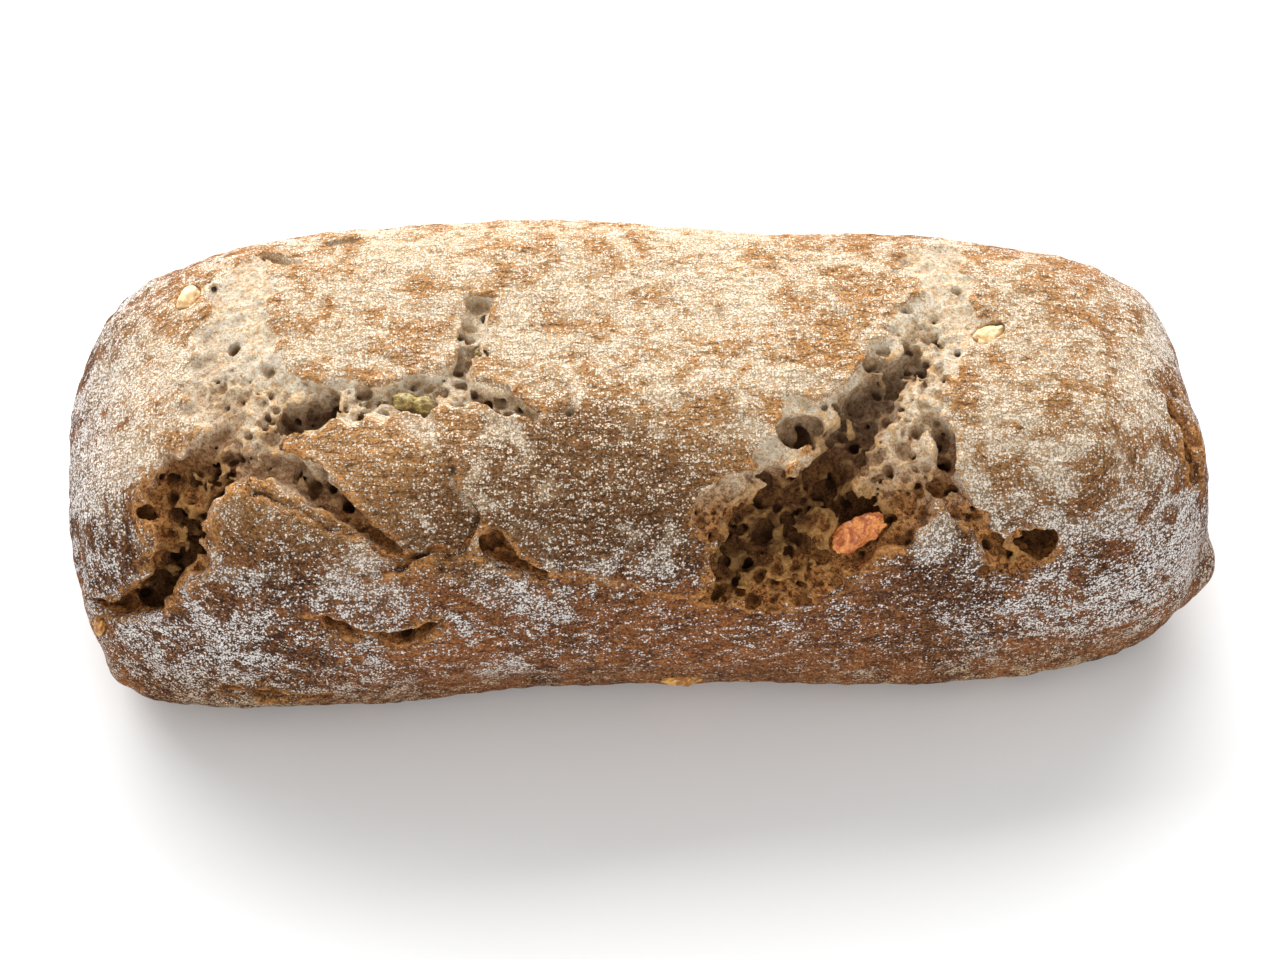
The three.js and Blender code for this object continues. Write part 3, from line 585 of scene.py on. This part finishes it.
class Shader:
    """Short ways to add nodes to a material."""

    def __init__(self, name):
        self.material = bpy.data.materials.new(name)
        self.material.use_nodes = True
        self.tree = self.material.node_tree
        self.surface = self.tree.nodes["Principled BSDF"]

    def put(self, socket, value):
        if isinstance(value, bpy.types.NodeSocket):
            self.tree.links.new(value, socket)
        else:
            socket.default_value = value

    def node(self, kind, inputs=(), **settings):
        made = self.tree.nodes.new(kind)
        for key, value in settings.items():
            setattr(made, key, value)
        for key, value in dict(inputs).items():
            self.put(made.inputs[key], value)
        return made

    def math(self, operation, *values, clamp=False):
        made = self.node("ShaderNodeMath", operation=operation, use_clamp=clamp)
        for socket, value in zip(made.inputs, values):
            self.put(socket, value)
        return made.outputs[0]

    def attribute(self, name):
        return self.node("ShaderNodeAttribute", attribute_name=name).outputs["Fac"]

    def place(self, *scale):
        """The object's own place, with each axis scaled, in millimetres."""
        coordinates = self.node("ShaderNodeTexCoord").outputs["Object"]
        made = self.node("ShaderNodeVectorMath", operation="MULTIPLY")
        self.put(made.inputs[0], coordinates)
        made.inputs[1].default_value = [1000 * s for s in scale]
        return made.outputs[0]

    def noise(self, vector, wave, detail=3.0, rough=0.55, distortion=0.0):
        inputs = {"Vector": vector, "Scale": 1 / wave, "Detail": detail, "Roughness": rough}
        return self.node("ShaderNodeTexNoise", {**inputs, "Distortion": distortion}).outputs["Fac"]

    def grains(self, vector, size, share):
        """Round grains scattered over a share of the surface: 1 on them and 0 between them."""
        cells = self.node("ShaderNodeTexVoronoi", {"Vector": vector, "Scale": 1 / size}, feature="F1")
        chance = self.node("ShaderNodeSeparateColor", {"Color": cells.outputs["Color"]}).outputs["Red"]
        there = self.ramp(self.math("SUBTRACT", share, chance), 0, 0.06)
        return self.math("MULTIPLY", there, self.ramp(cells.outputs["Distance"], 0.62, 0.4))

    def ramp(self, value, low, high, to_low=0.0, to_high=1.0):
        made = self.node(
            "ShaderNodeMapRange",
            {"Value": value, "From Min": low, "From Max": high, "To Min": to_low, "To Max": to_high},
            interpolation_type="SMOOTHSTEP",
        )
        return made.outputs["Result"]

    def mix(self, share, a, b, how="MIX"):
        made = self.node("ShaderNodeMix", data_type="RGBA", blend_type=how)
        self.put(made.inputs[0], share)
        self.put(made.inputs[6], a)
        self.put(made.inputs[7], b)
        return made.outputs[2]

    def bump(self, height, distance, normal=None):
        inputs = {"Height": height, "Distance": distance * MM, "Strength": 1.0}
        made = self.node("ShaderNodeBump", inputs)
        if normal is not None:
            self.put(made.inputs["Normal"], normal)
        return made.outputs["Normal"]


def crust_material():
    s = Shader("floured_crust")
    at = s.place(1, 1, 1)
    depth, torn, rim, across, floured, dark, cavity = (
        s.attribute(n) for n in ("depth", "torn", "rim", "across", "floured", "dark", "cavity")
    )
    x, y, height = s.node("ShaderNodeSeparateXYZ", {"Vector": at}).outputs[:3]

    # Wrinkles: noise that is long along the loaf and short across it.
    stretched = {
        "X": s.math("MULTIPLY", x, 1 / 3.2),
        "Y": s.math("MULTIPLY", across, 1 / 0.9),
        "Z": s.math("MULTIPLY", y, 1 / 4),
    }
    along = s.node("ShaderNodeCombineXYZ", stretched).outputs[0]
    wrinkles = s.noise(along, 1.0, 4.0, 0.6, 0.7)
    pits = s.noise(at, 1.4, 3.0, 0.6)

    # Crust colours: brown and golden, with darker patches that are partly darker baking and partly painted
    # shade, and lighter ones that are painted light.
    broad = s.noise(at, 30, 3.0, 0.5)
    mottled = s.noise(at, 7, 5.0, 0.62)
    baked = s.math("ADD", s.math("MULTIPLY", broad, 0.4), s.math("MULTIPLY", mottled, 0.6))
    # The dark patches: partly darker baking and partly painted shade, and painted light where they are under
    # 0.
    baked = s.math("SUBTRACT", baked, s.math("MULTIPLY", dark, 0.2))
    crust = s.mix(s.ramp(baked, 0.38, 0.62), srgb("3d1d0e"), srgb("8c532b"))
    # Golden towards the crown: partly the crust's colour and partly painted light.
    crust = s.mix(s.ramp(height, 50, 72, 0, 0.75), crust, srgb("d39c5e"))
    crust = s.mix(s.ramp(pits, 0.45, 0.65, 0, 0.45), crust, srgb("b0743c"))
    # Darker in the dark patches: partly darker baking, partly painted shade.
    crust = s.mix(s.ramp(dark, 0.1, 1.4, 0, 0.6), crust, srgb("42200f"))
    # Painted shade in the valleys of the wrinkles.
    crust = s.mix(s.ramp(wrinkles, 0.44, 0.34, 0, 0.6), crust, srgb("37200f"))
    edge = s.ramp(cavity, -0.07, -0.2, 0, 0.85)
    golden = s.math("MAXIMUM", edge, s.math("MULTIPLY", rim, 0.6))
    golden = s.math("MULTIPLY", golden, s.ramp(pits, 0.36, 0.56, 0.2, 1))
    crust = s.mix(golden, crust, srgb("cf9150"))
    # Painted shade in the pores and hollows of the crust.
    crust = s.mix(s.ramp(cavity, 0.05, 0.2, 0, 0.85), crust, srgb("2a160b"))

    # Flour: grains in patches, on the tops of the wrinkles, and thicker on the crown, where its cream film is
    # partly painted light.
    cover = s.math("ADD", s.noise(at, 9, 7.0, 0.68, 0.5), floured)
    patchy = s.ramp(cover, 0.45, 0.63)
    tops = s.math("MULTIPLY", s.math("SUBTRACT", wrinkles, 0.47), 2.0)
    # Painted shade between the flour grains, where the flour lies in patches.
    shade_amid_flour = s.math("MULTIPLY", patchy, s.ramp(height, 66, 46, 0, 0.55))
    crust = s.mix(shade_amid_flour, crust, srgb("34180b"))
    grit = s.noise(at, 0.55, 2.0, 0.6)
    crust = s.mix(s.ramp(grit, 0.5, 0.38, 0, 0.6), crust, srgb("301509"))
    crust = s.mix(s.ramp(grit, 0.52, 0.64, 0, 0.3), crust, srgb("d49a62"))
    share = s.math("ADD", s.math("MULTIPLY", patchy, 0.56), s.math("ADD", tops, 0.05))
    share = s.math("ADD", share, s.ramp(height, 44, 72, 0, 0.12))
    share = s.math("SUBTRACT", share, s.math("MULTIPLY", golden, 0.2))
    grains = s.math("MAXIMUM", s.grains(at, 0.56, share), s.grains(at, 0.36, share))
    film = s.math("MULTIPLY", patchy, s.ramp(height, 40, 72, 0.04, 0.55))
    # Flour darker towards the base: painted shade.
    flour = s.mix(s.ramp(height, 8, 32), srgb("cfae88"), srgb("f8f1ec"))
    flour = s.mix(s.ramp(height, 46, 70), flour, srgb("fdebd2"))
    coated = s.mix(film, crust, srgb("e8c99c"))
    coated = s.mix(s.math("MULTIPLY", grains, 0.95), coated, flour)

    # Crumb: cream on the crown, browner low down, with painted light and shade on its grains, painted shade
    # with depth and in its pores, and painted highlights on its ridges.
    grain_relief_and_shade = s.noise(at, 1.0, 6.0, 0.78)
    # Dark spots of painted shade, standing for small pores below the crown.
    painted_pore_shade = s.math("MULTIPLY", s.grains(at, 1.3, 0.35), s.ramp(height, 62, 48, 0, 0.45))
    crown = s.ramp(height, 57, 69)
    # Lit and shaded copies of the crumb colour: painted light and shade on its grains.
    shaded = s.mix(crown, srgb("713a12"), srgb("dfae74"))
    lit = s.mix(crown, srgb("f3a95f"), srgb("fff2d6"))
    crumb = s.mix(s.ramp(grain_relief_and_shade, 0.42, 0.56), shaded, lit)
    crumb = s.mix(s.ramp(height, 44, 24, 0, 0.4), crumb, srgb("9a5c27"))
    crumb = s.mix(painted_pore_shade, crumb, srgb("6a4220"))
    # Painted shade in the crumb's pores and hollows, and deeper down in the tears.
    cavity_shade = s.mix(crown, srgb("8f5a26"), srgb("e0b47c"))
    crumb = s.mix(s.ramp(cavity, 0.05, 0.2, 0, 0.45), crumb, cavity_shade)
    crumb = s.mix(s.ramp(depth, 0.14, 0.36, 0, 0.4), crumb, srgb("85501f"))
    crumb = s.mix(s.ramp(cavity, 0.15, 0.32, 0, 0.7), crumb, srgb("2c190c"))
    crumb = s.mix(s.ramp(depth, 0.36, 0.64, 0, 0.6), crumb, srgb("3a2210"))
    # Painted highlights on the crumb's ridges and edges.
    crumb = s.mix(s.ramp(cavity, -0.08, -0.24, 0, 0.5), crumb, srgb("dfab66"))
    dusted = s.math("MULTIPLY", grains, s.ramp(height, 52, 68, 0.05, 0.8))
    crumb = s.mix(s.math("MULTIPLY", dusted, s.ramp(depth, 0.26, 0.1)), crumb, srgb("fbeeda"))

    # Crumb shows below the crust and where a tear is open, with an uneven border.
    loose = s.math("MULTIPLY", s.math("SUBTRACT", grain_relief_and_shade, 0.5), 0.06)
    inner = s.ramp(s.math("ADD", depth, loose), 0.03, 0.08)
    uneven = s.math("MULTIPLY", s.math("SUBTRACT", mottled, 0.5), 0.5)
    opened = s.ramp(s.math("ADD", torn, uneven), 0.15, 0.5)
    inner = s.math("MAXIMUM", inner, opened)
    colour = s.mix(inner, coated, crumb)
    s.put(s.surface.inputs["Base Color"], colour)
    s.surface.inputs["Roughness"].default_value = 0.92
    s.surface.inputs["Specular IOR Level"].default_value = 0.25

    on_crust_only = s.math("SUBTRACT", 1.0, inner)
    normal = s.bump(s.math("MULTIPLY", wrinkles, on_crust_only), 1.6)
    crumbly = s.math("MULTIPLY", inner, s.math("SUBTRACT", 1.0, s.math("MULTIPLY", crown, 0.6)))
    normal = s.bump(s.math("MULTIPLY", grain_relief_and_shade, crumbly), 2.2, normal)
    normal = s.bump(pits, 1.0, normal)
    normal = s.bump(grains, 0.2, normal)
    s.put(s.surface.inputs["Normal"], normal)
    return s.material


loaf.data.materials.append(crust_material())


def walnut_material(name, light, dark):
    s = Shader(name)
    at = s.place(1, 1, 1)
    veins = s.noise(at, 2.2, 4.0, 0.6, 0.8)
    colour = s.mix(s.ramp(veins, 0.4, 0.62), srgb(dark), srgb(light))
    colour = s.mix(s.ramp(s.noise(at, 0.6, 2.0), 0.58, 0.7, 0, 0.35), colour, srgb("f2e6cf"))
    s.put(s.surface.inputs["Base Color"], colour)
    s.surface.inputs["Roughness"].default_value = 0.5
    s.put(s.surface.inputs["Normal"], s.bump(veins, 0.5))
    return s.material


WALNUT_SLOTS = {
    "walnut_pale": ("ffe4b4", "efc68a"),
    "walnut_olive": ("b9a35e", "7c6430"),
    "walnut_orange": ("e9954c", "a9501a"),
    "walnut_amber": ("d9a04e", "9a6022"),
}
walnut_materials = {slot: walnut_material(slot, *colours) for slot, colours in WALNUT_SLOTS.items()}
SLOT_OF = {
    "left_shoulder": "walnut_pale",
    "left_tear": "walnut_olive",
    "small_pore": "walnut_olive",
    "right_tear": "walnut_orange",
    "right_shoulder": "walnut_pale",
    "front_base": "walnut_amber",
    "left_end": "walnut_amber",
}


def sphere_points(cuts):
    """Points and triangles of a unit ball made by halving an icosahedron's edges."""
    bpy.ops.mesh.primitive_ico_sphere_add(subdivisions=cuts, radius=1)
    ob = bpy.context.object
    points = np.array([v.co for v in ob.data.vertices])
    faces = np.array([p.vertices for p in ob.data.polygons])
    bpy.data.objects.remove(ob)
    return points, faces


ball, ball_faces = sphere_points(5)


def soft_noise(points, wave, seed):
    """A few sine waves in random directions, for the small pieces."""
    draw = np.random.default_rng(seed)
    total = np.zeros(len(points))
    for _ in range(7):
        way = draw.normal(size=3)
        way *= 2 * math.pi / (wave * np.linalg.norm(way)) * draw.uniform(0.7, 1.4)
        total += np.sin(points @ way + draw.uniform(0, 6.3))
    return total / 3.5


for seed, (name, (centre, turn, sizes)) in enumerate(pockets.items()):
    swell = 0.84 + 0.16 * soft_noise(ball, 1.5, seed) + 0.09 * soft_noise(ball, 0.6, seed + 50)
    waist = WAISTS.get(name, 0) * np.exp(-((ball[:, 0] / 0.25) ** 2))
    swell += 0.04 * soft_noise(ball, 0.25, seed + 90) - waist
    local = ball * np.minimum(swell, 1.0)[:, None] * sizes
    points = centre + local @ turn
    piece = mesh_object(f"walnut_{name}", points, ball_faces)
    piece.data.materials.append(walnut_materials[SLOT_OF[name]])
    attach(piece, "root")
    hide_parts(f"walnut_piece_{name}")
    SLOT_OF[name]

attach(loaf, "root")
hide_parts("bread_loaf")

# ---------------------------------------------------------------------------------------- floor and lights
bpy.ops.mesh.primitive_plane_add(size=6, location=(0, 0, 0))
floor = bpy.context.object
floor.name = "floor"
floor_material = bpy.data.materials.new("floor")
floor_material.use_nodes = True
floor_shader = floor_material.node_tree.nodes["Principled BSDF"]
floor_shader.inputs["Base Color"].default_value = (0.9, 0.9, 0.9, 1)
floor_shader.inputs["Roughness"].default_value = 0.9
floor.data.materials.append(floor_material)
floor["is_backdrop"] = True

world = bpy.data.worlds.new("studio")
world.use_nodes = True
world.node_tree.nodes["Background"].inputs["Color"].default_value = (1, 1, 1, 1)
world.node_tree.nodes["Background"].inputs["Strength"].default_value = 0.6
bpy.context.scene.world = world


def area_light(name, place, size, power):
    light = bpy.data.lights.new(name, "AREA")
    light.shape = "RECTANGLE"
    light.size, light.size_y = size
    light.energy = power
    ob = bpy.data.objects.new(name, light)
    ob.location = place
    ob.rotation_euler = (Vector((0, 0, 0.03)) - Vector(place)).to_track_quat("-Z", "Y").to_euler()
    bpy.context.collection.objects.link(ob)


area_light("key_behind", (-0.2, 1.1, 0.85), (2.4, 1.2), 49)
area_light("fill_front", (0.2, -0.9, 0.5), (0.9, 0.9), 4)

CAMERA_AT = (math.radians(-1.4), math.radians(52), 0.65)
CAMERA_TARGET = Vector((0, -0.0031, 0.0276))
LENS_MM, SENSOR_MM = 84.5, 36
azimuth, elevation, distance = CAMERA_AT
back = Vector((
    math.sin(azimuth) * math.cos(elevation),
    -math.cos(azimuth) * math.cos(elevation),
    math.sin(elevation),
))
camera_data = bpy.data.cameras.new("camera")
camera_data.lens = LENS_MM
camera_data.sensor_width = SENSOR_MM
camera = bpy.data.objects.new("camera", camera_data)
camera.location = CAMERA_TARGET + back * distance
camera.rotation_euler = (-back).to_track_quat("-Z", "Y").to_euler()
bpy.context.collection.objects.link(camera)
bpy.context.scene.camera = camera
bpy.context.scene.view_settings.view_transform = "Standard"

now_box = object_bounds()
{"cad": [list(c) for c in cad_box], "visual": [list(c) for c in now_box]}
